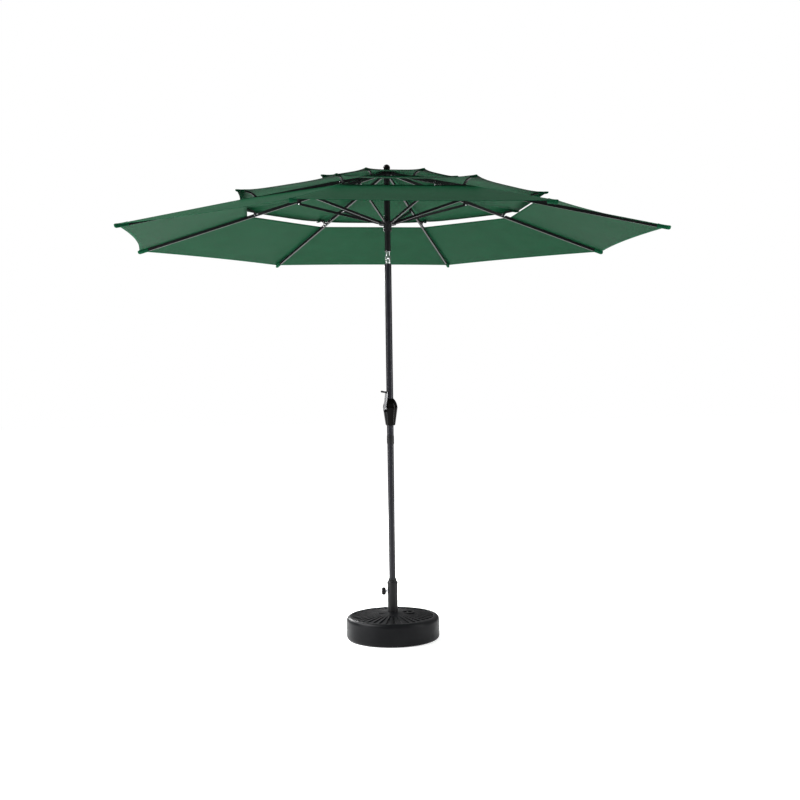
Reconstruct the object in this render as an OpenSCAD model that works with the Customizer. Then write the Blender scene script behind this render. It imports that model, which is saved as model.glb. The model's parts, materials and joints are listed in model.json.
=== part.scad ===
// Patio umbrella with a fillable base: eight ribs, three vented fabric tiers, crank lift and tilt joint.
// Millimetres, +Z up, origin at the centre of the base's underside.
// The canopy is open at rest. Its flats face +X, -X, +Y and -Y, and its ribs lie between them.

/* [Canopy] */
// Radius of the bottom tier at its corners
canopy_r = 1472; // [1200:1:1800]
// Radius of the bottom tier's inner corners
bottom_inner_r = 806; // [700:1:840]
// Radius of the middle tier at its corners
middle_r = 863; // [760:1:1000]
// Height of the middle tier's corners above the rib line
middle_lift = 55; // [35:1:80]
// Radius of the middle tier's inner edge
middle_inner_r = 330; // [300:1:360]
// Radius of the top tier at its corners
top_r = 389; // [370:1:460]
// Height of the top tier's corners above the rib line
top_lift = 47; // [30:1:60]
// Radius where the top tier leaves the hub
top_inner_r = 52; // [49:1:80]
// Thickness of the plates that stand for the fabric
fabric_t = 0.8; // [0.5:0.1:2]

/* [Ribs and struts] */
// Number of ribs
rib_count = 8; // [6:1:10]
// Height of the rib pivots in the top hub
hub_pivot_z = 2489; // [2200:1:2700]
// Slope of the open ribs below level, in degrees
rib_slope = 13.94; // [10:0.01:18]
// Width of a rib
rib_w = 9; // [7:0.5:9]
// Height of a rib
rib_h = 16; // [12:0.5:18]
// Wall of the rib and strut tubes
rib_wall = 0.8; // [0.6:0.1:1.2]
// Distance from the hub pivot to the strut pivot
strut_len = 482; // [440:1:520]
// Width of a strut
strut_w = 8; // [6:0.5:8]
// Height of a strut
strut_h = 13; // [10:0.5:14]
// Angle between the folded ribs and the pole, in degrees
closed_angle = 7; // [6:0.5:10]
// Diameter of the pivot pins
pivot_pin_d = 5; // [4:0.5:5]

/* [Mast and tilt joint] */
// Outside diameter of the upper mast
mast_d = 32; // [30:0.5:34]
// Height of the tilt pin's axis
tilt_z = 2043; // [1900:1:2150]
// Thickness of the tilt tongue's blade
tongue_w = 11; // [8:0.5:12]
// Diameter of the tilt pin
tilt_pin_d = 8; // [6:0.5:10]
// Diameter of the tilt button
button_d = 9; // [7:0.5:10]
// Travel of the tilt button
button_travel = 3; // [2:0.5:4]

/* [Poles] */
// Outside diameter of the main pole
pole_d = 36.5; // [35:0.1:38]
// Outside diameter of the lower pole
lower_pole_d = 35; // [34:0.1:36.5]
// Wall of the poles and the mast
pole_wall = 1.5; // [1.2:0.1:2]
// Height of the joint between the two poles
joint_z = 1068; // [900:1:1100]
// Length of the joint sleeve that shows
sleeve_len = 44; // [30:1:60]
// Length of the plug inside each pole
plug_len = 60; // [40:1:90]

/* [Crank] */
// Height of the crank's axis
crank_z = 1238; // [1200:1:1500]
// Direction that the crank faces, in degrees from +X
crank_azimuth = 216; // [0:1:359]
// Stand of the housing's flat facet off the main pole, at the crank's axis
facet_stand = 10.75; // [9:0.25:14]
// Lean of the facet towards the pole, in degrees
facet_lean = 8.8; // [6:0.1:10]
// Length of the crank arm between its two axes
crank_len = 84; // [60:1:110]
// Widest radius of the crank housing
housing_r = 39; // [38:0.5:44]
// Wall of the crank housing
housing_wall = 3; // [2:0.5:4]
// Radius of the spool's core that winds the lift cord
spool_r = 6; // [5:0.5:7]
// Diameter of the crank's knob
crank_knob_d = 10; // [8:0.5:16]
// Length of the crank's knob
knob_len = 36; // [25:1:45]

/* [Base] */
// Diameter of the base
base_d = 500; // [420:1:600]
// Height of the base's rim
rim_h = 122; // [90:1:150]
// Height of the base's top around the tube
crown_h = 141; // [110:1:170]
// Wall of the tank
tank_wall = 4; // [3:0.5:6]
// Depth of the sand in the tank
sand_depth = 62; // [30:1:80]
// Number of radial grooves in the base's top
groove_count = 36; // [24:1:48]
// Depth of the grooves
groove_depth = 5; // [2:0.5:6]
// Distance from the tube to the fill opening
fill_r = 80; // [75:1:100]
// Outside diameter of the base tube
tube_d = 54; // [50:0.5:60]
// Wall of the base tube
tube_wall = 2.5; // [2:0.5:3]
// Height of the base tube's top
tube_top = 294; // [240:1:340]
// Height of the clamp screw
clamp_z = 254; // [210:1:260]
// Diameter of the clamp screw
clamp_screw_d = 8; // [6:0.5:10]
// Diameter of the clamp knob
clamp_knob_d = 41; // [35:0.5:50]

/* [Fits] */
// Gap around pieces that are pushed or bonded together
push_gap = 0.1; // [0.05:0.05:0.2]
// Radial gap around a shaft that turns in its hole
running_gap = 0.05; // [0.02:0.01:0.08]
// Gap on each side of a blade in its slot
slot_gap = 0.6; // [0.4:0.1:1]
// Gap between moving pieces that never bear on each other
free_gap = 0.7; // [0.5:0.1:1]
// Radial gap between the runner and the widest tube that it slides over
runner_gap = 1.5; // [1:0.1:2]

/* [Hidden] */
$fn = 48;
SIDES = [for (i = [1:rib_count]) i];
function each_side(stem) = [for (i = SIDES) str(stem, i)];

// Directions of the ribs and of the fabric between them
side_step = 360 / rib_count;
function rib_azimuth(i) = side_step * (i - 0.5);
function panel_azimuth(i) = side_step * (i - 1);
flat_share = cos(side_step / 2);

// Poles, mast and the sizes that follow them
pole_r = pole_d / 2;
lower_pole_r = lower_pole_d / 2;
mast_r = mast_d / 2;
sleeve_r = max(pole_r, lower_pole_r) + 1.1;
fork_r = mast_r - 0.2;
fork_cheek_r = fork_r - 2.6;
tilt_pin_r = tilt_pin_d / 2;
button_r = button_d / 2;
fork_d = 2 * fork_r;
pin_recess = 0.8;
mast_plug_r = mast_r - pole_wall - push_gap;
button_z = tilt_z - fork_cheek_r - 3.3 - button_r;

// The pivot circle in the hub and in the runner stands clear of the web around the runner's bore
head_cut = 3;
runner_bore_r = max(pole_r, mast_r) + runner_gap;
hub_web_r = runner_bore_r + 5.25;
pivot_r = hub_web_r + (rib_h - head_cut) / 2 + 3.5;

// The line of an open rib in its own plane: x is the distance from the pole's axis
rib_tan = tan(rib_slope);
fabric_gap = 1;
fabric_offset = (rib_h / 2 + fabric_gap) / cos(rib_slope);
function rib_z(r) = hub_pivot_z - (r - pivot_r) * rib_tan;
function fabric_z(r) = rib_z(r) + fabric_offset;
rib_len = (canopy_r - pivot_r) / cos(rib_slope) - 6;
middle_inner_z = fabric_z(middle_inner_r) + 2;
middle_z = fabric_z(middle_r) + middle_lift;
top_inner_z = hub_pivot_z + 11;
top_z = fabric_z(top_r) + top_lift;
arm_reach = 108;
arm_thick = 11;
arm_width = 9;
rib_head_len = 34;

strut_head_len = 28;

// The strut pivot hangs under the rib, so its arm runs a little steeper than the rib
strut_drop = rib_h / 2 + strut_h / 2 + free_gap;
pivot_along = sqrt(strut_len * strut_len - strut_drop * strut_drop);
strut_pivot_r = pivot_r + pivot_along * cos(rib_slope) - strut_drop * sin(rib_slope);
strut_pivot_z = hub_pivot_z - pivot_along * sin(rib_slope) - strut_drop * cos(rib_slope);
runner_pivot_z = 2 * strut_pivot_z - hub_pivot_z;
strut_slope = asin((hub_pivot_z - strut_pivot_z) / strut_len);
pivot_pin_r = pivot_pin_d / 2;
slot_w = rib_w + 2 * slot_gap;

// Hub and runner
hub_r = pivot_r + 11;
hub_h = 17;
hub_top_z = hub_pivot_z + hub_h / 2;
hub_sleeve_r = mast_r + 5;
hub_sleeve_len = 24;
pin_bearing = 3;
pin_span = slot_w + 2 * pin_bearing;
runner_h = 18;
runner_neck_r = runner_bore_r + 2.6;
runner_neck_len = 38;
lug_gap = 0.4;
flange_r = 25;
flange_t = 3;
flange_z = hub_top_z + 4;
finial_r = 18.5;
finial_neck_r = 9;
finial_neck_len = 8;
finial_z = flange_z + finial_neck_len + finial_r - 4;
finial_plug_len = 25;

// Poles and tilt joint
fork_base_z = button_z - button_r - 6.5;
fork_plug_len = 26;
fork_slot_z = tilt_z - fork_cheek_r - 1;
cheek_base_z = tilt_z - 7;
neck_r = mast_r - 3;
neck_z = tilt_z + fork_cheek_r + free_gap + 0.1;
mast_base_z = tilt_z + 34;
mast_plug_len = 28;
mast_top_z = hub_top_z - 0.5;
pulley_z = hub_pivot_z - 49;
pulley_r = 9;
pulley_half_w = 4;
pulley_pin_r = 2;

// Crank
facet_d = pole_r + facet_stand;
spool_flange_r = 9;
spool_flange_t = 3;
spool_tail_r = 3;
spool_neck_r = 6;
spool_tail_end = pole_r + 0.25;
arm_socket_z = 4.5;
spool_start = -facet_stand - 5.25;
spool_end = -facet_d - 9;
ledge_drop = 20;
housing_foot_r = housing_r - 13;
arm_boss_r = 11;
arm_z = 5.5;
arm_t = 5;
arm_w = 16;
knob_pin_r = 2.5;

// Base
base_r = base_d / 2;
tube_r = tube_d / 2;
socket_floor = 28;
foot_round = 18;
shoulder_round = 22;
rim_w = 7;
rim_step = 3;
rim_inner_r = base_r - shoulder_round - rim_w;
crown_tan = (crown_h - rim_h + rim_step) / (rim_inner_r - tube_r);
function crown_z(r) = crown_h - (r - tube_r) * crown_tan;
fill_hole_r = 18;
cap_seat_r = 27;
boss_r = 38;
boss_root = 14;
boss_z = crown_z(fill_r) + 3;
cap_seat_z = boss_z - 10;

// Joint between the two poles
pole_end_gap = 1;
plug_wall = 2.5;

// Things that lie in a rib's own plane are drawn at +X and turned to the rib's direction.
module at_rib(i) rotate([0, 0, rib_azimuth(i)]) children();

// Along an open rib: x runs down the rib from the hub pivot, z stands square to it
module along_rib(i) at_rib(i) translate([pivot_r, 0, hub_pivot_z]) rotate([0, rib_slope, 0]) children();

// A round bar along Y, centred on the origin
module cross_bar(r, len) rotate([90, 0, 0]) cylinder(r = r, h = len, center = true);

// A round bar along X, from x0 to x1
module bar_x(r, x0, x1) translate([x0, 0, 0]) rotate([0, 90, 0]) cylinder(r = r, h = x1 - x0);

// An upright tube
module pipe(r, wall, z0, z1) {
    translate([0, 0, z0]) difference() {
        cylinder(r = r, h = z1 - z0, $fn = 64);
        translate([0, 0, -1]) cylinder(r = r - wall, h = z1 - z0 + 2, $fn = 64);
    }
}

// A hollow bar of rectangular section along +X, from x0 to x1
module box_tube(w, h, wall, x0, x1) {
    translate([x0, 0, 0]) difference() {
        translate([0, -w / 2, -h / 2]) cube([x1 - x0, w, h]);
        translate([-1, wall - w / 2, wall - h / 2]) cube([x1 - x0 + 2, w - 2 * wall, h - 2 * wall]);
    }
}

// A flat blade with a round, drilled end at the origin, reaching to x1
// and with no hole if hole_r is 0
module blade(w, h, x1, hole_r) {
    difference() {
        union() {
            translate([0, -w / 2, -h / 2]) cube([x1, w, h]);
            cross_bar(h / 2, w);
        }
        if (hole_r > 0) cross_bar(hole_r, w + 2);
    }
}

/* Base */

// Half section of the tank's body, drawn in by t on every side and lower by crown_drop at the crown
module tank_section(t, crown_drop) {
    foot = foot_round - t;
    shoulder = shoulder_round - t;
    r = base_r - t;
    top = rim_h - t;
    square_from(0, t, r - foot, top - shoulder);
    square_from(0, t + foot, r, top - shoulder);
    square_from(rim_inner_r + t, t, r - shoulder, top);
    translate([r - foot, t + foot]) circle(r = foot);
    translate([r - shoulder, top - shoulder]) circle(r = shoulder);
    crown_r = rim_inner_r + t;
    polygon([[0, t], [crown_r, t], [crown_r, crown_z(rim_inner_r) - crown_drop],
             [tube_r, crown_h - crown_drop], [0, crown_h - crown_drop]]);
}

module square_from(x0, z0, x1, z1) translate([x0, z0]) square([x1 - x0, z1 - z0]);

// A groove runs out from a point near the tube and widens towards the rim.
module crown_groove() {
    start_r = tube_r + 58;
    len = rim_inner_r - start_r - 2;
    half_w = rim_inner_r * tan(180 / groove_count) * 0.5;
    translate([start_r, 0, crown_z(start_r) - groove_depth])
        rotate([0, atan(crown_tan), 0])
            linear_extrude(height = 3 * groove_depth)
                polygon([[0, -1], [len, -half_w], [len, half_w], [0, 1]]);
}

module base_tank() {
    color("#232528") difference() {
        union() {
            difference() {
                rotate_extrude($fn = 96) tank_section(0, 0);
                for (i = [0:groove_count - 1])
                    rotate([0, 0, (i + 0.5) * 360 / groove_count]) crown_groove();
            }
            // Boss around the fill opening
            translate([fill_r, 0, boss_z - boss_root]) cylinder(r = boss_r, h = boss_root);
            // Plain pad beside the tube, opposite the fill opening
            translate([-tube_r - 51, -24, crown_h - boss_root]) cube([60, 48, boss_root - 2]);
        }
        difference() {
            rotate_extrude($fn = 96) tank_section(tank_wall, tank_wall + groove_depth);
            // Walls around the tube's socket and under the fill opening's seat
            cylinder(r = tube_r + tank_wall, h = crown_h);
            translate([fill_r, 0, cap_seat_z - tank_wall]) cylinder(r = cap_seat_r + tank_wall, h = 40);
        }
        translate([0, 0, socket_floor]) cylinder(r = tube_r + push_gap, h = crown_h);
        translate([fill_r, 0, cap_seat_z]) cylinder(r = cap_seat_r, h = 40);
        translate([fill_r, 0, cap_seat_z - 4 * tank_wall]) cylinder(r = fill_hole_r, h = 5 * tank_wall);
    }
}

module sand_ballast() {
    gap = tank_wall + 0.6;
    color("#b39b6d") intersection() {
        difference() {
            rotate_extrude($fn = 96) tank_section(gap, gap + groove_depth);
            translate([0, 0, -1]) cylinder(r = tube_r + gap, h = crown_h + 2);
        }
        cylinder(r = base_r, h = gap + sand_depth);
    }
}

// The cap is a bung with a grip bar across its sunken face.
module fill_cap() {
    cap_r = cap_seat_r - 0.6;
    color("#141517") translate([fill_r, 0, cap_seat_z + 0.3]) {
        difference() {
            cylinder(r = cap_r, h = 7);
            translate([0, 0, 3]) cylinder(r = cap_r - 3, h = 10);
        }
        translate([-3, -cap_r + 2, 2]) cube([6, 2 * cap_r - 4, 5]);
        translate([0, 0, -9.5]) cylinder(r = fill_hole_r - 0.5, h = 10);
    }
}

module base_tube() {
    color("#2b2d30") difference() {
        pipe(tube_r, tube_wall, socket_floor + 0.2, tube_top);
        translate([0, 0, clamp_z]) bar_x(clamp_screw_d / 2 + running_gap, -tube_r - 2, -lower_pole_r);
    }
}

module tube_collar() {
    plug_r = tube_r - tube_wall - push_gap;
    bore_r = lower_pole_r + running_gap;
    color("#101113") difference() {
        union() {
            translate([0, 0, clamp_z + 14]) cylinder(r = plug_r, h = tube_top - clamp_z);
            translate([0, 0, tube_top + 0.1]) cylinder(r = tube_r + 2, h = 6);
            translate([0, 0, tube_top + 6]) cylinder(r1 = tube_r + 1, r2 = tube_r - 5, h = 9);
            translate([0, 0, tube_top + 15]) cylinder(r = tube_r - 4.5, h = 10);
        }
        translate([0, 0, clamp_z]) cylinder(r = bore_r, h = 100);
    }
}

module clamp_nut() {
    color("#c9ccd0") translate([0, 0, clamp_z]) difference() {
        bar_x(7.5, -tube_r - 6, -tube_r + 1.2, $fn = 6);
        bar_x(clamp_screw_d / 2 + running_gap, -tube_r - 7, 0);
        translate([0, 0, -clamp_z]) pipe(tube_r + push_gap, 10, clamp_z - 20, clamp_z + 20);
    }
}

module clamp_screw() {
    color("#c9ccd0") translate([0, 0, clamp_z]) {
        bar_x(clamp_screw_d / 2, -tube_r - 22, -lower_pole_r - 0.4);
        bar_x(clamp_screw_d / 2 + 2.5, -tube_r - 9.4, -tube_r - 7);
    }
}

module clamp_knob() {
    lobes = 6;
    face_x = -tube_r - 9.5;
    thick = 21;
    color("#0e0f11") translate([0, 0, clamp_z]) difference() {
        union() {
            bar_x(8, face_x - 5, face_x);
            translate([face_x - thick / 2 - 1, 0, 0]) rotate([0, 90, 0]) rotate_extrude() {
                square_from(0, -thick / 2, clamp_knob_d / 2 - 6, thick / 2);
                square_from(0, 6 - thick / 2, clamp_knob_d / 2, thick / 2 - 6);
                for (z = [6 - thick / 2, thick / 2 - 6])
                    translate([clamp_knob_d / 2 - 6, z]) circle(r = 6);
            }
        }
        for (i = [1:lobes]) rotate([i * 360 / lobes, 0, 0])
            translate([0, 0, clamp_knob_d / 2 + 4]) bar_x(7.5, face_x - 30, face_x - 1);
        bar_x(clamp_screw_d / 2 + push_gap, -tube_r - 22.2, face_x + 1);
    }
}

/* Poles */

module lower_pole() {
    color("#2f3136") pipe(lower_pole_r, pole_wall, socket_floor + 2, joint_z - pole_end_gap);
}

module joint_sleeve() {
    half = sleeve_len / 2;
    color("#17181b") {
        pipe(sleeve_r, sleeve_r - pole_r - push_gap, joint_z, joint_z + half);
        difference() {
            union() {
                pipe(sleeve_r, sleeve_r - lower_pole_r - push_gap, joint_z - half, joint_z);
                translate([0, 0, joint_z - pole_end_gap + push_gap])
                    cylinder(r = sleeve_r, h = 2 * (pole_end_gap - push_gap));
                translate([0, 0, joint_z - plug_len])
                    cylinder(r = lower_pole_r - pole_wall - push_gap, h = plug_len);
                translate([0, 0, joint_z]) cylinder(r = pole_r - pole_wall - push_gap, h = plug_len);
            }
            translate([0, 0, joint_z - plug_len - 1])
                cylinder(r = min(pole_r, lower_pole_r) - pole_wall - plug_wall, h = 2 * plug_len + 2);
        }
    }
}

module main_pole() {
    color("#2f3136") difference() {
        pipe(pole_r, pole_wall, joint_z + pole_end_gap, fork_base_z);
        at_crank() translate([0, 0, -facet_d]) cylinder(r = spool_flange_r + free_gap, h = facet_d);
        at_crank() translate([0, 0, -2 * facet_d]) cylinder(r = spool_tail_r + running_gap, h = facet_d);
    }
}

/* Crank: z runs out along the crank's axis, x runs up the facet, and the facet is at z = 0 */

module at_crank() {
    rotate([0, 0, crank_azimuth]) translate([facet_d, 0, crank_z])
        rotate([0, 90 - facet_lean, 0]) rotate([0, 0, 180]) children();
}

// Half section of the housing, an egg that narrows to a collar below, drawn in by t
module housing_section(t) {
    r = housing_r - t;
    flare = crank_z;
    foot_z = crank_z - 93 + t;
    foot_r = housing_foot_r - t;
    head_z = crank_z + 57 - t;
    round = 1.9 * r;
    intersection() {
        translate([r - round, flare]) circle(r = round, $fn = 96);
        square_from(0, flare, r + 1, head_z);
    }
    polygon([[0, foot_z], [foot_r - 3, foot_z], [foot_r, foot_z + 3], [r, flare], [0, flare]]);
}

// The housing's own axis stands a little behind the pole's, away from the crank
module at_housing() rotate([0, 0, crank_azimuth]) translate([-2, 0, 0]) children();

module housing_shell() {
    at_housing() difference() {
        rotate_extrude($fn = 96) housing_section(0);
        rotate_extrude($fn = 96) housing_section(housing_wall);
    }
}

// What the two halves share: the shell, cut by the facet, with its own floor behind the facet
module housing_body() {
    difference() {
        union() {
            difference() {
                housing_shell();
                at_crank() facet_cut(0);
            }
            intersection() {
                at_housing() rotate_extrude($fn = 96) housing_section(housing_wall / 8);
                difference() {
                    at_crank() facet_cut(-housing_wall);
                    at_crank() facet_cut(0);
                }
            }
        }
        cylinder(r = pole_r + push_gap, h = 2 * crank_z);
        at_crank() translate([0, 0, -facet_stand]) cylinder(r = spool_neck_r + running_gap, h = 2 * facet_stand);
    }
}

module facet_cut(depth) {
    size = 4 * housing_r;
    translate([depth - ledge_drop, -size / 2, depth]) cube([size, size, housing_r]);
}

// The housing parts on a plane through the pole's axis. This is the side from x = gap outwards.
module crank_side(gap) {
    size = 4 * housing_r;
    rotate([0, 0, crank_azimuth]) translate([gap, -size / 2, crank_z - size / 2]) cube([size, size, size]);
}

module crank_housing() color("#0c0d0f") intersection() {
    housing_body();
    crank_side(push_gap);
}

module housing_cover() color("#0c0d0f") difference() {
    housing_body();
    crank_side(-push_gap);
}

module cord_spool() {
    color("#d8d3c4") at_crank() {
        translate([0, 0, -facet_d - spool_tail_end]) cylinder(r = spool_tail_r, h = spool_tail_end);
        translate([0, 0, spool_end]) cylinder(r = spool_flange_r, h = spool_flange_t);
        translate([0, 0, spool_end]) cylinder(r = spool_r, h = spool_start - spool_end);
        translate([0, 0, spool_start - spool_flange_t]) cylinder(r = spool_flange_r, h = spool_flange_t);
        translate([0, 0, spool_start - 1]) cylinder(r = spool_neck_r, h = arm_socket_z + 1 - spool_start);
    }
}

module crank_arm() {
    color("#cfd1cd") at_crank() difference() {
        union() {
            translate([0, 0, free_gap]) cylinder(r = arm_boss_r, h = arm_z + arm_t - free_gap);
            translate([0, -arm_w / 2, arm_z]) cube([crank_len, arm_w, arm_t]);
            translate([crank_len, 0, arm_z]) cylinder(r = arm_w / 2, h = arm_t);
            translate([crank_len, 0, arm_z]) cylinder(r = knob_pin_r, h = arm_t + knob_len - 3);
        }
        cylinder(r = spool_neck_r + push_gap, h = arm_socket_z + push_gap);
    }
}

module crank_knob() {
    step = 0.8;
    color("#131416") at_crank() translate([crank_len, 0, arm_z + arm_t + free_gap / 2]) difference() {
        union() {
            cylinder(r = crank_knob_d / 2 - step, h = knob_len);
            translate([0, 0, 2]) cylinder(r = crank_knob_d / 2, h = knob_len - 4);
        }
        translate([0, 0, -1]) cylinder(r = knob_pin_r + running_gap, h = knob_len - 1);
    }
}

/* Tilt joint: the pin lies along X, and the mast tilts towards -Y */

module tilt_fork() {
    plug_r = pole_r - pole_wall - push_gap;
    body_z = fork_base_z + 2 * push_gap;
    blade_gap = slot_gap / 2;
    color("#dfe1e3") difference() {
        union() {
            translate([0, 0, fork_base_z - fork_plug_len]) cylinder(r = plug_r, h = fork_plug_len, $fn = 64);
            translate([0, 0, fork_base_z - 1])
                cylinder(r = min(fork_r, plug_r), h = cheek_base_z - fork_base_z, $fn = 64);
            translate([0, 0, body_z]) cylinder(r = fork_r, h = cheek_base_z - body_z, $fn = 64);
            intersection() {
                translate([0, 0, cheek_base_z - 1]) cylinder(r = fork_r, h = 2 * fork_cheek_r, $fn = 64);
                translate([0, 0, tilt_z]) union() {
                    bar_x(fork_cheek_r, -fork_r, fork_r);
                    translate([-fork_r, -fork_cheek_r, cheek_base_z - tilt_z - 2])
                        cube([2 * fork_r, 2 * fork_cheek_r, tilt_z - cheek_base_z + 2]);
                }
            }
        }
        // Slot for the tongue's blade
        translate([-tongue_w / 2 - blade_gap, -fork_d, fork_slot_z])
            cube([tongue_w + 2 * blade_gap, 2 * fork_d, 4 * fork_cheek_r]);
        translate([0, 0, tilt_z]) bar_x(tilt_pin_r + push_gap, -fork_d, fork_d);
        translate([0, 0, button_z]) rotate([-90, 0, 0]) cylinder(r = button_r + running_gap, h = fork_d);
    }
}

module tilt_pin() {
    color("#b9bcc0") translate([0, 0, tilt_z]) bar_x(tilt_pin_r, -fork_r + pin_recess, fork_r - pin_recess);
}

// The button's face stops short of the runner's bore, so that the runner can slide past it.
module tilt_button() {
    back_y = button_travel + 1;
    face_y = sqrt(pow(runner_bore_r - 2 * free_gap, 2) - button_r * button_r);
    color("#1a1b1d") translate([0, 0, button_z]) rotate([-90, 0, 0])
        translate([0, 0, back_y]) cylinder(r = button_r, h = face_y - back_y);
}

module tilt_tongue() {
    blade_r = fork_cheek_r - free_gap;
    color("#dfe1e3") difference() {
        union() {
            translate([0, 0, tilt_z]) bar_x(blade_r, -tongue_w / 2, tongue_w / 2);
            translate([-tongue_w / 2, -min(blade_r, neck_r), tilt_z]) cube([tongue_w, 2 * min(blade_r, neck_r), neck_z + 3 - tilt_z]);
            difference() {
                translate([0, 0, tilt_z]) cylinder(r = neck_r, h = mast_base_z - tilt_z, $fn = 64);
                translate([0, 0, tilt_z]) bar_x(fork_cheek_r + free_gap, -fork_d, fork_d);
            }
            translate([0, 0, mast_base_z - 1])
                cylinder(r = min(neck_r, mast_plug_r), h = mast_plug_len, $fn = 64);
            translate([0, 0, mast_base_z - push_gap]) cylinder(r = mast_plug_r, h = mast_plug_len, $fn = 64);
        }
        translate([0, 0, tilt_z]) bar_x(tilt_pin_r + running_gap, -fork_d, fork_d);
    }
}

/* Mast, hub and runner */

module upper_mast() {
    color("#15161a") difference() {
        pipe(mast_r, pole_wall, mast_base_z + push_gap, mast_top_z);
        translate([0, 0, pulley_z]) bar_x(pulley_pin_r + push_gap, -mast_d, mast_d);
    }
}

// A disc with a bore and with a radial slot for each blade, centred at height z
module slotted_disc(z, h, bore_r) {
    translate([0, 0, z]) difference() {
        cylinder(r = hub_r, h = h, center = true, $fn = 64);
        cylinder(r = bore_r, h = h + 2, center = true, $fn = 64);
        for (i = SIDES) at_rib(i)
            translate([hub_web_r, -slot_w / 2, -h / 2 - 1]) cube([hub_r, slot_w, h + 2]);
    }
}

module top_hub() {
    color("#101114") difference() {
        union() {
            slotted_disc(hub_pivot_z, hub_h, mast_r + push_gap);
            pipe(hub_sleeve_r, hub_sleeve_r - mast_r - push_gap, hub_pivot_z - hub_sleeve_len, hub_pivot_z);
        }
        for (i = SIDES) at_rib(i)
            translate([pivot_r, 0, hub_pivot_z]) cross_bar(pivot_pin_r + push_gap, pin_span + 4 * push_gap);
    }
}

module hub_pins() {
    color("#b9bcc0") for (i = SIDES) at_rib(i)
        translate([pivot_r, 0, hub_pivot_z]) cross_bar(pivot_pin_r, pin_span);
}

module top_pulley() {
    color("#d8d3c4") translate([0, 0, pulley_z]) difference() {
        union() {
            bar_x(pulley_r, -pulley_half_w, -pulley_half_w / 2);
            bar_x(pulley_r - 2, -pulley_half_w, pulley_half_w);
            bar_x(pulley_r, pulley_half_w / 2, pulley_half_w);
        }
        bar_x(pulley_pin_r + running_gap, -pulley_r, pulley_r);
    }
}

module pulley_pin() color("#b9bcc0") translate([0, 0, pulley_z]) bar_x(pulley_pin_r, -mast_r, mast_r);

module finial() {
    plug_z = mast_top_z - finial_plug_len;
    color("#0c0d0f") {
        translate([0, 0, finial_z]) sphere(r = finial_r, $fn = 64);
        translate([0, 0, flange_z]) cylinder(r = finial_neck_r, h = finial_neck_len);
        translate([0, 0, flange_z]) cylinder(r = flange_r, h = flange_t);
        translate([0, 0, plug_z]) cylinder(r = mast_plug_r, h = flange_z + flange_t / 2 - plug_z);
    }
}

// Each lug is open below its pin seat, so that a strut's pin can drop out of it and come back.
module runner() {
    base_z = runner_pivot_z - runner_h / 2;
    seat_r = pivot_pin_r + lug_gap;
    seat_w = pin_span + 2 * lug_gap;
    color("#101114") difference() {
        union() {
            slotted_disc(runner_pivot_z, runner_h, runner_bore_r);
            pipe(runner_neck_r, runner_neck_r - runner_bore_r, base_z - runner_neck_len + 6, base_z + 2);
        }
        for (i = SIDES) at_rib(i) translate([pivot_r, 0, runner_pivot_z]) {
            cross_bar(seat_r, seat_w);
            translate([-seat_r, -seat_w / 2, -runner_h]) cube([2 * seat_r, seat_w, runner_h]);
        }
    }
}

module rib(i) {
    color("#16171a") along_rib(i) {
        blade(rib_w - 1, rib_h - head_cut, rib_head_len, pivot_pin_r + running_gap);
        box_tube(rib_w, rib_h, rib_wall, rib_head_len - 8, rib_len);
    }
}

// The strut carries its own pin at the runner, with a head at each end.
module strut(i) {
    color("#16171a") at_rib(i) {
        translate([strut_pivot_r, 0, strut_pivot_z]) rotate([0, 180 - strut_slope, 0]) {
            blade(strut_w - 1, strut_h - 1, strut_head_len, pivot_pin_r + running_gap);
            box_tube(strut_w, strut_h, rib_wall, strut_head_len - 8, strut_len - strut_head_len + 8);
            translate([strut_len, 0, 0]) {
                mirror([1, 0, 0]) blade(strut_w - 1, strut_h - 1, strut_head_len, 0);
                cross_bar(pivot_pin_r, pin_span);
            }
        }
    }
}

// Outline of a bent strip: its middle runs through the points of path, and half holds its half width at each
function strip_normal(path, k) =
    let (run = path[min(k + 1, len(path) - 1)] - path[max(k - 1, 0)])
        [-run[1], run[0]] / norm(run);
function strip_outline(path, half) = concat(
    [for (k = [0:len(path) - 1]) path[k] + half[k] * strip_normal(path, k)],
    [for (k = [len(path) - 1:-1:0]) path[k] - half[k] * strip_normal(path, k)]);

// A bent arm that stands on a clip on the rib and holds up a tier's corner. It lies under the tier, whose edge
// on the rib line runs from (r0, z0) to (r1, z1).
module tier_arm(i, r0, z0, r1, z1) {
    function under(r, drop) = [r, z0 + (z1 - z0) * (r - r0) / (r1 - r0) - drop];
    steps = 6;
    foot_r = r1 - arm_reach;
    foot = [foot_r, fabric_z(foot_r) - fabric_gap - 2];
    knee = under(foot_r + 0.25 * arm_reach, arm_thick / 2 + 3);
    tip = under(r1 - 4, fabric_t + 4.5);
    path = [for (k = [0:steps]) let (t = k / steps)
        (1 - t) * (1 - t) * foot + 2 * t * (1 - t) * knee + t * t * tip];
    half = [for (k = [0:steps]) arm_thick / 2 * (1 - 0.55 * k / steps)];
    difference() {
        at_rib(i) rotate([90, 0, 0])
            linear_extrude(height = arm_width, center = true) polygon(strip_outline(path, half));
        at_rib(i) saddle_cut();
    }
    saddle(i, (foot_r - pivot_r) / cos(rib_slope) - 4, 28);
}

// The space that the rib's tube takes, with the push gap
module saddle_cut() {
    translate([pivot_r, 0, hub_pivot_z]) rotate([0, rib_slope, 0])
        translate([0, -rib_w / 2 - push_gap, -rib_h / 2 - push_gap])
            cube([2 * canopy_r, rib_w + 2 * push_gap, rib_h + 2 * push_gap]);
}

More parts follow.
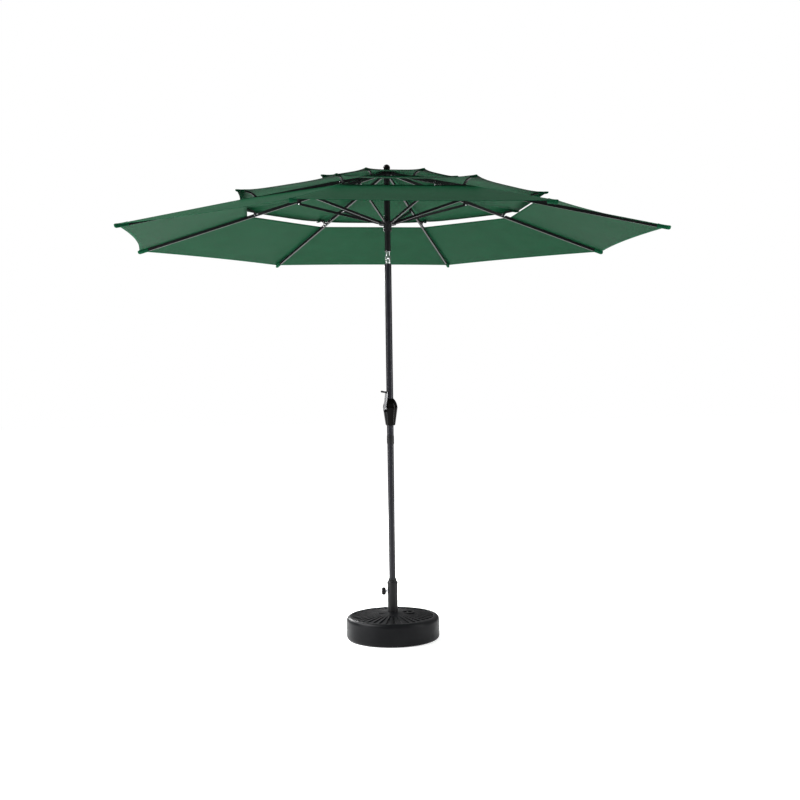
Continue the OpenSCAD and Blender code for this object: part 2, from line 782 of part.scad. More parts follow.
// A clip that wraps the rib's top and sides, centred x along the rib
module saddle(i, x, len) {
    wall = 1.4;
    side_h = 9;
    along_rib(i) difference() {
        translate([x - len / 2, -rib_w / 2 - push_gap - wall, rib_h / 2 - side_h])
            cube([len, rib_w + 2 * (push_gap + wall), side_h + push_gap + 0.7]);
        translate([x - len, -rib_w / 2 - push_gap, -rib_h])
            cube([2 * len, rib_w + 2 * push_gap, 1.5 * rib_h + push_gap]);
    }
}

// Two cheeks under the rib hold the strut's outer pin.
module strut_bracket(i) {
    half_gap = strut_w / 2 + slot_gap;
    cheek = 2.4;
    outer = rib_w / 2 + push_gap + cheek;
    along_rib(i) translate([pivot_along, 0, 0]) difference() {
        union() {
            for (s = [-1, 1]) {
                translate([-10, s > 0 ? half_gap : -outer, -strut_drop])
                    cube([20, outer - half_gap, strut_drop + rib_h / 2 - 3]);
                translate([0, s * (outer + half_gap) / 2, -strut_drop]) cross_bar(6, outer - half_gap);
            }
            translate([0, 0, -strut_drop]) cross_bar(pivot_pin_r, 2 * outer);
        }
        translate([-50, -rib_w / 2 - push_gap, -rib_h / 2 - push_gap])
            cube([100, rib_w + 2 * push_gap, rib_h + 2 * push_gap]);
    }
}

// A cap closes the rib's outer end, and its nose fills the canopy's corner pocket.
module rib_tip(i) {
    along_rib(i) {
        translate([rib_len - 14, rib_wall + push_gap - rib_w / 2, rib_wall + push_gap - rib_h / 2])
            cube([14.5, rib_w - 2 * (rib_wall + push_gap), rib_h - 2 * (rib_wall + push_gap)]);
        translate([rib_len + 0.2, -rib_w / 2, -rib_h / 2]) cube([4, rib_w, rib_h]);
    }
}

module rib_fittings(i) {
    color("#131417") {
        tier_arm(i, top_inner_r, top_inner_z, top_r, top_z);
        tier_arm(i, middle_inner_r, middle_inner_z, middle_r, middle_z);
        strut_bracket(i);
        rib_tip(i);
    }
}

// A flat plate between two rib directions, from radius r0 at height z0 to radius r1 at height z1
module tier_plate(i, r0, z0, r1, z1) {
    x0 = r0 * flat_share;
    x1 = r1 * flat_share;
    half0 = r0 * sin(side_step / 2) - fabric_gap;
    half1 = r1 * sin(side_step / 2) - fabric_gap;
    run = norm([x1 - x0, z1 - z0]);
    rotate([0, 0, panel_azimuth(i)]) translate([x0, 0, z0])
        rotate([0, atan2(z0 - z1, x1 - x0), 0])
            linear_extrude(height = fabric_t)
                polygon([[0, -half0], [run, -half1], [run, half1], [0, half0]]);
}

module canopy_panel(i) {
    color("#14503a") {
        tier_plate(i, bottom_inner_r, fabric_z(bottom_inner_r), canopy_r, fabric_z(canopy_r));
        tier_plate(i, middle_inner_r, middle_inner_z, middle_r, middle_z);
        tier_plate(i, top_inner_r, top_inner_z, top_r, top_z);
    }
}

base_tank();
sand_ballast();
fill_cap();
base_tube();
tube_collar();
clamp_nut();
clamp_screw();
clamp_knob();
lower_pole();
joint_sleeve();
main_pole();
crank_housing();
housing_cover();
cord_spool();
crank_arm();
crank_knob();
tilt_fork();
tilt_pin();
tilt_button();
tilt_tongue();
upper_mast();
top_hub();
hub_pins();
top_pulley();
pulley_pin();
finial();
runner();
for (i = SIDES) {
    rib(i);
    strut(i);
    rib_fittings(i);
    canopy_panel(i);
}
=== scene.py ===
"""Patio umbrella with base: cloth, trim, finishes, studio and camera around the CAD frame. Metres, +Z up."""

import json
import math

import bpy
from mathutils import Matrix, Vector


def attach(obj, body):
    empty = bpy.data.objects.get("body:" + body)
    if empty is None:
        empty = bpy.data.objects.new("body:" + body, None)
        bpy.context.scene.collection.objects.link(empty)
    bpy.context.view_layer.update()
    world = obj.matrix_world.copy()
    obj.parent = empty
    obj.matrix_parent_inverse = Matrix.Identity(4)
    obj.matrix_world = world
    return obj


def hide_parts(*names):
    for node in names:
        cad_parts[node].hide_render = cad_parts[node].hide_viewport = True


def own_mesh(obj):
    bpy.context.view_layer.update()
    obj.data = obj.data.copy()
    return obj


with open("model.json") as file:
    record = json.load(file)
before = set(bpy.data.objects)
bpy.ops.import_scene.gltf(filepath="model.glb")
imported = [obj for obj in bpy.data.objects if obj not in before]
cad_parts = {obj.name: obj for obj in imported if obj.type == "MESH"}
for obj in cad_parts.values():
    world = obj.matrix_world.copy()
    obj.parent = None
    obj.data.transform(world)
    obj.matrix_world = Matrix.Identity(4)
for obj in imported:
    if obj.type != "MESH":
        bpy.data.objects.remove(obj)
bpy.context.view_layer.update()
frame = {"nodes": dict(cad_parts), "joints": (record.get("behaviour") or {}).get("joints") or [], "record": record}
nodes = frame["nodes"]
joints = {joint["name"]: joint for joint in frame["joints"]}

# ---------------------------------------------------------------- camera

CAMERA_DISTANCE = 6.135
CAMERA_HEIGHT = 1.392
CAMERA_LENS = 51.4
CAMERA_SENSOR = 36.0
CAMERA_AZIMUTH = math.radians(6.81)
CAMERA_YAW = math.radians(0.5073)
CAMERA_PITCH = math.radians(-1.0391)
CAMERA_ROLL = math.radians(0.80)


def make_camera():
    data = bpy.data.cameras.new("camera")
    data.lens = CAMERA_LENS
    data.sensor_width = CAMERA_SENSOR
    data.clip_end = 100
    camera = bpy.data.objects.new("camera", data)
    bpy.context.scene.collection.objects.link(camera)
    camera.matrix_world = (
        Matrix.Rotation(-CAMERA_AZIMUTH, 4, "Z")
        @ Matrix.Translation((0, -CAMERA_DISTANCE, CAMERA_HEIGHT))
        @ Matrix.Rotation(-CAMERA_YAW, 4, "Z")
        @ Matrix.Rotation(math.pi / 2 + CAMERA_PITCH, 4, "X")
        @ Matrix.Rotation(-CAMERA_ROLL, 4, "Z")
    )
    bpy.context.scene.camera = camera


make_camera()

# ---------------------------------------------------------------- the frame's measures

RIB_COUNT = 8
SIDE_STEP = 2 * math.pi / RIB_COUNT
HALF_STEP = SIDE_STEP / 2
HUB_PIVOT = Vector(joints["rib_1_hinge"]["pos_m"])
PIVOT_R = math.hypot(HUB_PIVOT.x, HUB_PIVOT.y)
PIVOT_Z = HUB_PIVOT.z
RIB_SLOPE = math.radians(13.94)
RIB_H = 0.016
FABRIC_RISE = (RIB_H / 2 + 0.001) / math.cos(RIB_SLOPE)


def rib_azimuth(i):
    return SIDE_STEP * (i - 0.5)


def panel_azimuth(i):
    return SIDE_STEP * (i - 1)


def fabric_z(r):
    """Height of the cloth on an open rib at distance r from the pole's axis."""
    return PIVOT_Z - (r - PIVOT_R) * math.tan(RIB_SLOPE) + FABRIC_RISE


def lerp(a, b, t):
    return a + (b - a) * t


# ---------------------------------------------------------------- materials


class Finish:
    """A principled material, built up node by node."""

    def __init__(self, name, color, roughness, **sockets):
        self.material = bpy.data.materials.new(name)
        self.material.use_nodes = True
        self.tree = self.material.node_tree
        self.shader = self.tree.nodes["Principled BSDF"]
        self.output = self.tree.nodes["Material Output"]
        self.shader.inputs["Base Color"].default_value = (*color, 1)
        self.shader.inputs["Roughness"].default_value = roughness
        for socket, value in sockets.items():
            self.shader.inputs[socket.replace("_", " ")].default_value = value
        self.place = self.add("ShaderNodeTexCoord").outputs["Object"]

    def add(self, kind, settings=(), **inputs):
        node = self.tree.nodes.new(kind)
        for name, value in dict(settings).items():
            setattr(node, name, value)
        for name, value in inputs.items():
            socket = node.inputs[name.replace("_", " ")]
            if isinstance(value, bpy.types.NodeSocket):
                self.tree.links.new(value, socket)
            else:
                socket.default_value = value
        return node

    def link(self, output, node, name):
        self.tree.links.new(output, node.inputs[name])

    def noise(self, scale, detail=2.0):
        return self.add("ShaderNodeTexNoise", Vector=self.place, Scale=scale, Detail=detail).outputs["Fac"]

    def stretched_noise(self, scale, stretch, detail=2.0):
        """Noise drawn out along one axis: stretch is what each axis is multiplied by."""
        mapping = self.add("ShaderNodeMapping", Vector=self.place, Scale=stretch)
        texture = self.add("ShaderNodeTexNoise", Vector=mapping.outputs["Vector"], Scale=scale, Detail=detail)
        return texture.outputs["Fac"]

    def spread(self, value, low, high):
        """The value from 0.3 to 0.7 mapped to low to high."""
        node = self.add("ShaderNodeMapRange", Value=value)
        for socket, number in zip(("From Min", "From Max", "To Min", "To Max"), (0.3, 0.7, low, high)):
            node.inputs[socket].default_value = number
        return node.outputs["Result"]

    def vary_color(self, value, dark, light):
        ramp = self.add("ShaderNodeValToRGB", Fac=value)
        ramp.color_ramp.elements[0].position = 0.3
        ramp.color_ramp.elements[0].color = (*dark, 1)
        ramp.color_ramp.elements[1].position = 0.7
        ramp.color_ramp.elements[1].color = (*light, 1)
        self.link(ramp.outputs["Color"], self.shader, "Base Color")

    def vary_roughness(self, value, low, high):
        self.link(self.spread(value, low, high), self.shader, "Roughness")

    def bump(self, *layers):
        """Each layer is (height value, depth in metres, strength)."""
        normal = None
        for height, depth, strength in layers:
            node = self.add("ShaderNodeBump", Height=height, Distance=depth, Strength=strength)
            if normal:
                self.link(normal, node, "Normal")
            normal = node.outputs["Normal"]
        self.link(normal, self.shader, "Normal")
        return normal


THREAD_PITCH = 0.0011
# Length in metres of one wave of a wave texture whose scale is 1
WAVE_LENGTH = 0.314159


def make_cloth(name, dark, light, glow):
    """Plain-weave polyester, nearly matt, with faint creases and some light through it."""
    finish = Finish(name, light, 0.45, Specular_IOR_Level=0.012)
    finish.vary_color(finish.noise(9.0, 4.0), dark, light)
    threads = []
    for axis in ("X", "Y"):
        wave = finish.add(
            "ShaderNodeTexWave",
            {"wave_type": "BANDS", "bands_direction": axis},
            Vector=finish.place,
            Scale=WAVE_LENGTH / THREAD_PITCH,
            Distortion=0.6,
        )
        threads.append(wave.outputs["Fac"])
    weave = finish.add("ShaderNodeMath", {"operation": "MAXIMUM"})
    for k, thread in enumerate(threads):
        finish.tree.links.new(thread, weave.inputs[k])
    normal = finish.bump(
        (finish.noise(16.0, 3.0), 0.004, 0.25),
        (weave.outputs["Value"], 0.0003, 0.35),
    )
    through = finish.add("ShaderNodeBsdfTranslucent")
    through.inputs["Color"].default_value = (*glow, 1)
    finish.link(normal, through, "Normal")
    mix = finish.add("ShaderNodeMixShader", Fac=0.14)
    finish.tree.links.new(finish.shader.outputs["BSDF"], mix.inputs[1])
    finish.tree.links.new(through.outputs["BSDF"], mix.inputs[2])
    finish.link(mix.outputs["Shader"], finish.output, "Surface")
    return finish.material


def make_powder_coat(name, dark, light, roughness):
    """Baked powder paint with a fine orange peel."""
    finish = Finish(name, light, roughness, Specular_IOR_Level=0.16)
    finish.vary_color(finish.noise(14.0), dark, light)
    finish.vary_roughness(finish.noise(60.0, 3.0), roughness - 0.03, roughness + 0.04)
    finish.bump((finish.noise(1100.0), 0.0001, 0.06))
    return finish.material


def make_resin():
    """Blow-moulded tank resin: satin, a little cloudy, with a fine leathery skin."""
    finish = Finish("tank_resin", (0.01, 0.0105, 0.012), 0.4, Specular_IOR_Level=0.07)
    finish.vary_color(finish.noise(7.0, 5.0), (0.003, 0.0032, 0.0038), (0.0055, 0.0058, 0.0066))
    finish.vary_roughness(finish.noise(24.0, 4.0), 0.34, 0.48)
    finish.bump((finish.noise(11.0, 2.0), 0.003, 0.1), (finish.noise(900.0, 3.0), 0.0002, 0.2))
    return finish.material


def make_gloss_plastic():
    finish = Finish("gloss_black", (0.0022, 0.002, 0.0018), 0.14, Specular_IOR_Level=0.05)
    finish.vary_roughness(finish.noise(45.0, 4.0), 0.1, 0.18)
    finish.bump((finish.noise(700.0), 0.0001, 0.04))
    return finish.material


def make_matte_plastic():
    """Moulded nylon with a spark-eroded grain."""
    finish = Finish("grained_black", (0.006, 0.006, 0.0065), 0.42, Specular_IOR_Level=0.15)
    finish.vary_color(finish.noise(30.0, 3.0), (0.004, 0.004, 0.0045), (0.008, 0.008, 0.009))
    finish.vary_roughness(finish.noise(70.0, 3.0), 0.36, 0.5)
    finish.bump((finish.noise(1500.0, 2.0), 0.0001, 0.15))
    return finish.material


def make_metal(name, color, low, high, stretch):
    """Bare metal with fine polishing marks drawn out along one axis."""
    finish = Finish(name, color, low, Metallic=1.0)
    dull = tuple(0.8 * c for c in color)
    finish.vary_color(finish.noise(40.0, 4.0), dull, color)
    marks = finish.stretched_noise(300.0, stretch, 3.0)
    finish.vary_roughness(marks, low, high)
    finish.bump((marks, 0.0001, 0.12))
    return finish.material


def make_nylon():
    finish = Finish("natural_nylon", (0.68, 0.64, 0.56), 0.42)
    finish.vary_color(finish.noise(50.0, 3.0), (0.6, 0.56, 0.48), (0.72, 0.69, 0.61))
    finish.bump((finish.noise(500.0), 0.0002, 0.2))
    return finish.material


def make_sand():
    finish = Finish("sand", (0.5, 0.4, 0.26), 0.95)
    finish.vary_color(finish.noise(700.0, 6.0), (0.28, 0.21, 0.12), (0.66, 0.55, 0.38))
    finish.bump((finish.noise(900.0, 4.0), 0.001, 0.8))
    return finish.material


CLOTH = make_cloth("canopy_cloth", (0.0035, 0.035, 0.0145), (0.0045, 0.042, 0.018), (0.007, 0.09, 0.037))
TRIM_CLOTH = make_cloth("trim_cloth", (0.004, 0.045, 0.02), (0.006, 0.06, 0.027), (0.008, 0.1, 0.045))
DARK_TUBE = make_powder_coat("dark_tube", (0.008, 0.008, 0.0105), (0.012, 0.012, 0.016), 0.24)
BLACK_TUBE = make_powder_coat("black_tube", (0.003, 0.003, 0.0035), (0.0055, 0.0055, 0.006), 0.32)
RESIN = make_resin()
GLOSS_BLACK = make_gloss_plastic()
MATTE_BLACK = make_matte_plastic()
PLATED = make_metal("plated_steel", (0.74, 0.75, 0.77), 0.16, 0.3, (1, 1, 8))
ALLOY = make_metal("cast_alloy", (0.8, 0.81, 0.82), 0.14, 0.26, (1, 1, 0.1))
NYLON = make_nylon()
SAND = make_sand()

SLOT_FINISH = {
    "tank_resin": RESIN,
    "sand": SAND,
    "dark_tube": DARK_TUBE,
    "black_tube": BLACK_TUBE,
    "black_plastic": GLOSS_BLACK,
    "matte_black": MATTE_BLACK,
    "plated_steel": PLATED,
    "cast_alloy": ALLOY,
    "nylon": NYLON,
    "canopy_cloth": CLOTH,
}


def paint_frame():
    """Each CAD node takes the finish of its material slot."""
    for subpart in frame["record"]["subparts"]:
        node = nodes[subpart["node"]]
        finish = SLOT_FINISH[subpart["material_slot"]]
        if not node.material_slots:
            node.data.materials.append(finish)
        for material_slot in node.material_slots:
            material_slot.material = finish


paint_frame()

# ---------------------------------------------------------------- mesh helpers


def make_piece(name, verts, faces, material, body, smooth=True):
    """A mesh piece in the row frame that rides on a body."""
    mesh = bpy.data.meshes.new(name)
    mesh.from_pydata([tuple(v) for v in verts], [], faces)
    mesh.validate()
    mesh.update()
    mesh.materials.append(material)
    mesh.polygons.foreach_set("use_smooth", [smooth] * len(mesh.polygons))
    piece = bpy.data.objects.new(name, mesh)
    bpy.context.scene.collection.objects.link(piece)
    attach(piece, body)
    return piece


def grid_normals(grid):
    """A unit normal at each point of a grid of points, by its neighbours."""
    rows, columns = len(grid), len(grid[0])
    normals = []
    for i in range(rows):
        line = []
        for j in range(columns):
            along = grid[min(i + 1, rows - 1)][j] - grid[max(i - 1, 0)][j]
            across = grid[i][min(j + 1, columns - 1)] - grid[i][max(j - 1, 0)]
            line.append(along.cross(across).normalized())
        normals.append(line)
    return normals


def cloth_shell(grid, low, high):
    """Vertices and faces of a closed shell on a grid of points, from low to high along its normals."""
    rows, columns = len(grid), len(grid[0])
    normals = grid_normals(grid)
    verts = [
        grid[i][j] + normals[i][j] * offset
        for offset in (high, low)
        for i in range(rows)
        for j in range(columns)
    ]
    layer = rows * columns
    faces = []
    for i in range(rows - 1):
        for j in range(columns - 1):
            a = i * columns + j
            quad = (a, a + columns, a + columns + 1, a + 1)
            faces.append(quad)
            faces.append(tuple(layer + k for k in reversed(quad)))
    rim = list(range(columns))
    rim += [i * columns + columns - 1 for i in range(1, rows)]
    rim += [(rows - 1) * columns + j for j in range(columns - 2, -1, -1)]
    rim += [i * columns for i in range(rows - 2, 0, -1)]
    for a, b in zip(rim, rim[1:] + rim[:1]):
        faces.append((a, b, layer + b, layer + a))
    return verts, faces


# ---------------------------------------------------------------- canopy

CLOTH_T = 0.0007
# Reach of the folds at a panel's corners, the distance over which they begin, and how close together they are
FOLD_REACH = 0.16
FOLD_START = 0.04
FOLD_RATE = 9


class Tier:
    """One ring of the canopy. The inner edge is at r0, z0 and the corners at r1, z1, all on the rib lines.

    dip lowers the rib lines half way out. sag and pull lower and draw in the middle of the hem.
    A higher hem_power draws the hem in close to its corners and leaves it straighter between them.
    wrinkle is the depth of the folds at the corners.
    """

    def __init__(self, name, r0, z0, r1, z1, dip, sag, pull, hem_power, wrinkle):
        self.name = name
        self.r0, self.z0, self.r1, self.z1 = r0, z0, r1, z1
        self.dip = dip
        self.sag = sag
        self.pull = pull
        self.hem_power = hem_power
        self.wrinkle = wrinkle

    def edge(self, s):
        """(radius, height) on a rib line, s from 0 at the inner edge to 1 at the corner."""
        return lerp(self.r0, self.r1, s), lerp(self.z0, self.z1, s) - self.dip * 4 * s * (1 - s)

    def point(self, s, t):
        """A point of the cloth in the panel's own frame, t from -1 to 1 across it."""
        r, z = self.edge(s)
        slack = (1 - abs(t) ** self.hem_power) * s * s
        x = r * math.cos(HALF_STEP) - self.pull * slack
        y = t * r * math.sin(HALF_STEP)
        z -= self.sag * slack + self.fan(s, t)
        return Vector((x, y, z))

    def fan(self, s, t):
        """Soft folds that run out from the two outer corners."""
        depth = 0
        for side in (-1, 1):
            across = (1 - side * t) * self.r1 * math.sin(HALF_STEP)
            back = (1 - s) * (self.r1 - self.r0)
            reach = math.hypot(across, back)
            if reach < 1e-6:
                continue
            angle = math.atan2(back, across)
            fade = math.exp(-((reach / FOLD_REACH) ** 2)) * min(reach / FOLD_START, 1.0)
            fade *= math.sin(2 * min(angle, math.pi / 2))
            depth += self.wrinkle * fade * math.sin(FOLD_RATE * angle)
        return depth

    def area(self):
        """Flat area of one panel of this tier."""
        slant = math.hypot((self.r1 - self.r0) * math.cos(HALF_STEP), self.z1 - self.z0)
        return (self.r0 + self.r1) * math.sin(HALF_STEP) * slant

    def flat_size(self):
        """Width and length of the rectangle that one panel is cut from."""
        slant = math.hypot((self.r1 - self.r0) * math.cos(HALF_STEP), self.z1 - self.z0)
        return 2 * self.r1 * math.sin(HALF_STEP), slant


TIERS = [
    Tier(
        "bottom", 0.806, fabric_z(0.806), 1.472, fabric_z(1.472),
        dip=0.0, sag=0.0, pull=0.035, hem_power=2, wrinkle=0.0008,
    ),
    Tier(
        "middle", 0.330, fabric_z(0.330) + 0.003, 0.863, fabric_z(0.863) + 0.055,
        dip=0.012, sag=0.011, pull=0.018, hem_power=4, wrinkle=0.0022,
    ),
    Tier(
        "top", 0.052, 2.500, 0.389, fabric_z(0.389) + 0.047,
        dip=0.006, sag=0.007, pull=0.010, hem_power=4, wrinkle=0.0012,
    ),
]
BOTTOM, MIDDLE, TOP = TIERS


def turned(point, azimuth):
    return Matrix.Rotation(azimuth, 3, "Z") @ point


def fold_with_runner(piece):
    """Gives the piece its own copy of its mesh data; the cloth is not gathered or folded."""
    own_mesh(piece)


def make_tier_sheet(tier, i):
    rows, columns = 28, 40
    grid = [
        [turned(tier.point(a / rows, 2 * b / columns - 1), panel_azimuth(i)) for b in range(columns + 1)]
        for a in range(rows + 1)
    ]
    verts, faces = cloth_shell(grid, 0, CLOTH_T)
    sheet = make_piece(f"cloth_{tier.name}_{i}", verts, faces, CLOTH, f"canopy_{i}")
    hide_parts(f"canopy_panel_{i}")
    tier.flat_size()
    tier.area()
    fold_with_runner(sheet)


HEM_W = 0.016
HEM_T = 0.0016
# Underside of the seams and of the crown's patch, measured from the surface that each is laid out on
TRIM_UNDERSIDE = -0.0003


def make_hem(tier, i):
    """The folded edge along a panel's outer side."""
    rows, columns = 4, 40
    start = 1 - HEM_W / (tier.r1 - tier.r0)
    grid = [
        [
            turned(tier.point(lerp(start, 1, a / rows), 2 * b / columns - 1), panel_azimuth(i))
            for b in range(columns + 1)
        ]
        for a in range(rows + 1)
    ]
    middle = CLOTH_T / 2
    verts, faces = cloth_shell(grid, middle - HEM_T / 2, middle + HEM_T / 2)
    hem = make_piece(f"hem_{tier.name}_{i}", verts, faces, TRIM_CLOTH, f"canopy_{i}")
    fold_with_runner(hem)


SEAM_W = 0.009
SEAM_T = 0.0011


def make_seam(tier, i):
    """The felled seam where two panels meet on a rib."""
    rows = 30
    azimuth = rib_azimuth(i)
    grid = []
    for a in range(rows + 1):
        s = a / rows
        r, _ = tier.edge(s)
        step = SEAM_W / max(r * math.sin(HALF_STEP), SEAM_W)
        line = []
        for side, t in ((-1, 1 - step), (-1, 1 - step / 2), (0, 1), (1, step / 2 - 1), (1, step - 1)):
            panel = -HALF_STEP if side < 1 else HALF_STEP
            line.append(turned(tier.point(s, t), azimuth + panel))
        grid.append(line)
    verts, faces = cloth_shell(grid, TRIM_UNDERSIDE, SEAM_T)
    make_piece(f"seam_{tier.name}_{i}", verts, faces, TRIM_CLOTH, f"rib_{i}")


for i in range(1, RIB_COUNT + 1):
    for tier in TIERS:
        make_tier_sheet(tier, i)
        make_hem(tier, i)
        make_seam(tier, i)

# ---------------------------------------------------------------- pockets and crown


def rib_frame(i):
    """Turns a point (along the rib from the hub pivot, across it, square above it) into the row frame."""
    return (
        Matrix.Rotation(rib_azimuth(i), 4, "Z")
        @ Matrix.Translation((PIVOT_R, 0, PIVOT_Z))
        @ Matrix.Rotation(RIB_SLOPE, 4, "Y")
    )


def ring_tube(rings, cap_start, cap_end):
    """Vertices and faces of a tube through rings of points."""
    count = len(rings[0])
    verts = [point for ring in rings for point in ring]
    faces = []
    for k in range(len(rings) - 1):
        for j in range(count):
            a, b = k * count + j, k * count + (j + 1) % count
            faces.append((a, b, b + count, a + count))
    if cap_start:
        faces.append(tuple(reversed(range(count))))
    if cap_end:
        last = (len(rings) - 1) * count
        faces.append(tuple(range(last, last + count)))
    return verts, faces


def rounded_ring(x, half_w, half_h, lift, corners=16, power=0.45):
    """A ring of points with a soft-cornered section at distance x along a rib."""
    ring = []
    for k in range(corners):
        a = 2 * math.pi * k / corners
        c, s = math.cos(a), math.sin(a)
        y = half_w * math.copysign(abs(c) ** power, c)
        z = half_h * math.copysign(abs(s) ** power, s) + lift
        ring.append(Vector((x, y, z)))
    return ring


RIB_END = 1.4795


def make_tip_pocket(i):
    """The sewn pocket that slips over a rib's outer end, with a turned lip at its mouth and a blunt nose."""
    place = rib_frame(i)
    profile = (
        (-0.062, 0.0062, 0.0098, 0.0004),
        (-0.060, 0.0072, 0.0110, 0.0006),
        (-0.056, 0.0074, 0.0112, 0.0006),
        (-0.052, 0.0068, 0.0104, 0.0006),
        (-0.030, 0.0070, 0.0102, 0.0008),
        (-0.012, 0.0078, 0.0106, 0.0012),
        (-0.002, 0.0076, 0.0108, 0.0020),
        (0.003, 0.0062, 0.0092, 0.0032),
        (0.006, 0.0034, 0.0056, 0.0046),
    )
    rings = [
        [place @ point for point in rounded_ring(RIB_END + x, half_w, half_h, lift)]
        for x, half_w, half_h, lift in profile
    ]
    verts, faces = ring_tube(rings, False, True)
    make_piece(f"tip_pocket_{i}", verts, faces, TRIM_CLOTH, f"rib_{i}")


# How far the middle of a corner pocket is below the cloth's edge, as a share of the pocket's half height
POCKET_DROP = 0.6


def make_corner_pocket(tier, i):
    """The gathered pocket at a raised tier's corner, slipped over the end of its arm."""
    azimuth = rib_azimuth(i)
    profile = (
        (-0.050, 0.0060, 0.0030),
        (-0.044, 0.0085, 0.0052),
        (-0.030, 0.0092, 0.0062),
        (-0.014, 0.0086, 0.0064),
        (-0.004, 0.0064, 0.0056),
        (0.002, 0.0036, 0.0034),
    )
    _, top = tier.edge(1)
    rings = []
    for x, half_w, half_h in profile:
        s = 1 + x / (tier.r1 - tier.r0)
        _, z = tier.edge(min(s, 1))
        lift = min(z, top) - POCKET_DROP * half_h
        ring = rounded_ring(tier.r1 + x, half_w, half_h, lift, power=0.7)
        rings.append([turned(point, azimuth) for point in ring])
    verts, faces = ring_tube(rings, True, True)
    make_piece(f"corner_pocket_{tier.name}_{i}", verts, faces, TRIM_CLOTH, f"rib_{i}")


CROWN_T = 0.0004


def make_crown():
    """The reinforcing disc of cloth clamped under the finial's flange, with a stitched rim."""
    profile = (
        (0.0245, 2.5012),
        (0.040, 2.5014),
        (0.056, 2.5016),
        (0.0625, 2.5010),
        (0.064, 2.5000),
        (0.0625, 2.4992),
    )
    steps = 64
    grid = [
        [Vector((r * math.cos(a), r * math.sin(a), z)) for r, z in profile]
        for a in (2 * math.pi * k / steps for k in range(steps + 1))
    ]
    verts, faces = cloth_shell(grid, TRIM_UNDERSIDE, CROWN_T)
    make_piece("crown_patch", verts, faces, TRIM_CLOTH, "mast")


for i in range(1, RIB_COUNT + 1):
    make_tip_pocket(i)
    make_corner_pocket(MIDDLE, i)
    make_corner_pocket(TOP, i)
make_crown()

# ---------------------------------------------------------------- rivets


def dome(radius, height, rows=5, count=20):
    """Rings of a shallow rivet head that stands on z = 0 and points up."""
    turns = [2 * math.pi * j / count for j in range(count)]
    rings = []
    for k in range(rows + 1):
        a = math.pi / 2 * k / rows
        r, z = radius * math.cos(a), height * math.sin(a)
        if k == rows:
            r = radius * 0.05
        rings.append([Vector((r * math.cos(t), r * math.sin(t), z)) for t in turns])
    return rings


def make_rivet(name, place, size, body):
    rings = [[place @ point for point in ring] for ring in dome(*size)]
    verts, faces = ring_tube(rings, True, True)
    make_piece(name, verts, faces, PLATED, body)


def sideways(side):
    """Turns +Z to the rib's left or right."""
    return Matrix.Rotation(-side * math.pi / 2, 4, "X")


# Place of the strut's pivot along a rib and below its line, and of the bracket's side beside the rib
STRUT_ALONG = 0.48174
BRACKET_DROP = 0.0152
BRACKET_Y = 0.0070
# Radius of the foot of each raised tier's arm, and how far back from it the middle of its clip is
ARM_FEET = ((MIDDLE, 0.755), (TOP, 0.281))
CLIP_BACK = 0.004
# The clip's two rivets: along the rib from the clip's middle, above the rib's line, and beside the rib
CLIP_SHIFTS = (-0.009, 0.009)
CLIP_LIFT = 0.0025
CLIP_Y = 0.00598
# Radius and height of the rivet heads
STRUT_HEAD = (0.0045, 0.0022)
CLIP_HEAD = (0.0028, 0.0012)


def make_rib_rivets(i):
    """Pivot heads on the strut's bracket, and small rivets through the arm clips and the rib."""
    place = rib_frame(i)
    for side in (-1, 1):
        at = place @ Matrix.Translation((STRUT_ALONG, side * BRACKET_Y, -BRACKET_DROP)) @ sideways(side)
        letter = "lr"[side > 0]
        make_rivet(f"strut_rivet_{i}_{letter}", at, STRUT_HEAD, f"rib_{i}")
        for tier, foot_r in ARM_FEET:
            along = (foot_r - PIVOT_R) / math.cos(RIB_SLOPE) - CLIP_BACK
            for k, shift in enumerate(CLIP_SHIFTS):
                at = place @ Matrix.Translation((along + shift, side * CLIP_Y, CLIP_LIFT)) @ sideways(side)
                make_rivet(f"clip_rivet_{tier.name}_{i}_{k}_{letter}", at, CLIP_HEAD, f"rib_{i}")


for i in range(1, RIB_COUNT + 1):
    make_rib_rivets(i)

# ---------------------------------------------------------------- studio


FLOOR_GLOW = 0.5


def make_floor():
    mesh = bpy.data.meshes.new("floor")
    half = 30
    corners = [(-half, -half, 0), (half, -half, 0), (half, half, 0), (-half, half, 0)]
    mesh.from_pydata(corners, [], [(0, 1, 2, 3)])
    white = (0.9, 0.9, 0.9)
    finish = Finish("floor_white", white, 0.8, Emission_Color=(1, 1, 1, 1), Emission_Strength=FLOOR_GLOW)
    mesh.materials.append(finish.material)
    floor = bpy.data.objects.new("floor", mesh)
    bpy.context.scene.collection.objects.link(floor)


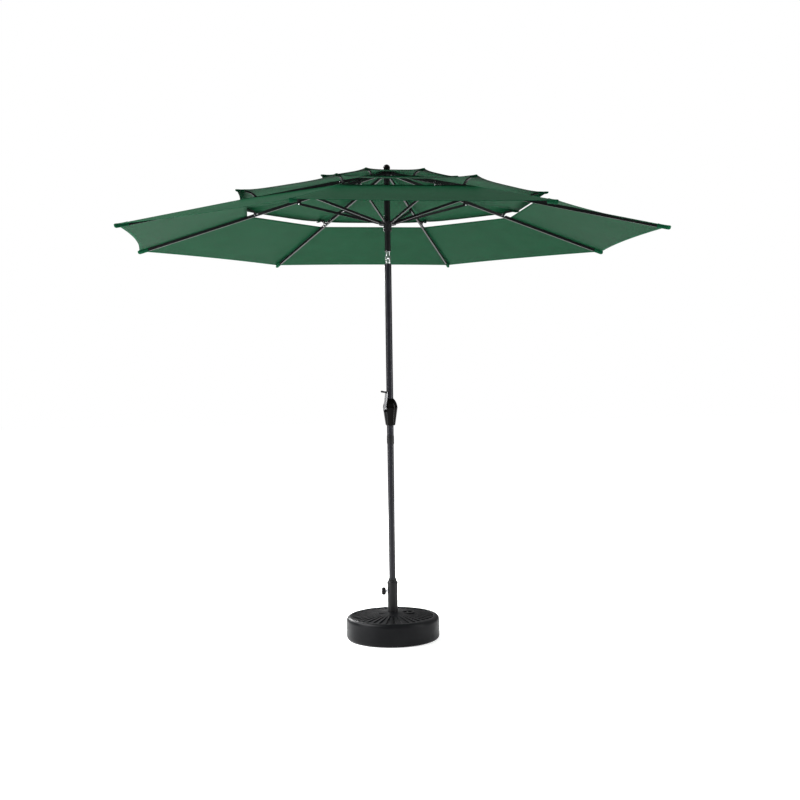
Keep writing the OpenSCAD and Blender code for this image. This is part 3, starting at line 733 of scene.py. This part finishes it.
def make_area_light(name, place, target, width, height, power):
    data = bpy.data.lights.new(name, "AREA")
    data.shape = "RECTANGLE"
    data.size = width
    data.size_y = height
    data.energy = power
    light = bpy.data.objects.new(name, data)
    light.visible_camera = False
    light.location = place
    light.rotation_mode = "QUATERNION"
    light.rotation_quaternion = (Vector(target) - Vector(place)).to_track_quat("-Z", "Y")
    bpy.context.scene.collection.objects.link(light)


def make_world():
    world = bpy.data.worlds.new("studio")
    bpy.context.scene.world = world
    world.use_nodes = True
    tree = world.node_tree
    seen = tree.nodes["Background"]
    seen.inputs["Color"].default_value = (1, 1, 1, 1)
    lighting = tree.nodes.new("ShaderNodeBackground")
    lighting.inputs["Strength"].default_value = 1.0
    place = tree.nodes.new("ShaderNodeTexCoord")
    height = tree.nodes.new("ShaderNodeSeparateXYZ")
    ramp = tree.nodes.new("ShaderNodeValToRGB")
    ramp.color_ramp.elements[0].position = 0.0
    ramp.color_ramp.elements[0].color = (0.12, 0.12, 0.12, 1)
    ramp.color_ramp.elements[1].position = 0.7
    ramp.color_ramp.elements[1].color = (0.75, 0.75, 0.75, 1)
    path = tree.nodes.new("ShaderNodeLightPath")
    mix = tree.nodes.new("ShaderNodeMixShader")
    tree.links.new(place.outputs["Generated"], height.inputs["Vector"])
    tree.links.new(height.outputs["Z"], ramp.inputs["Fac"])
    tree.links.new(ramp.outputs["Color"], lighting.inputs["Color"])
    tree.links.new(path.outputs["Is Camera Ray"], mix.inputs["Fac"])
    tree.links.new(lighting.outputs["Background"], mix.inputs[1])
    tree.links.new(seen.outputs["Background"], mix.inputs[2])
    tree.links.new(mix.outputs["Shader"], tree.nodes["World Output"].inputs["Surface"])


make_floor()
make_world()
make_area_light("key", (-4.5, 1.0, 6.0), (0, 0, 1.8), 2.5, 2.5, 1000)
make_area_light("rim", (-2.6, 6.4, 3.1), (-0.9, -0.8, 2.2), 3.0, 0.9, 350)
make_area_light("strip_left", (-2.41, -0.66, 1.2), (0, 0, 1.2), 0.35, 3.0, 60)
make_area_light("strip_right", (2.19, -1.2, 1.2), (0, 0, 1.2), 0.18, 3.0, 60)
bpy.context.scene.view_settings.view_transform = "Standard"
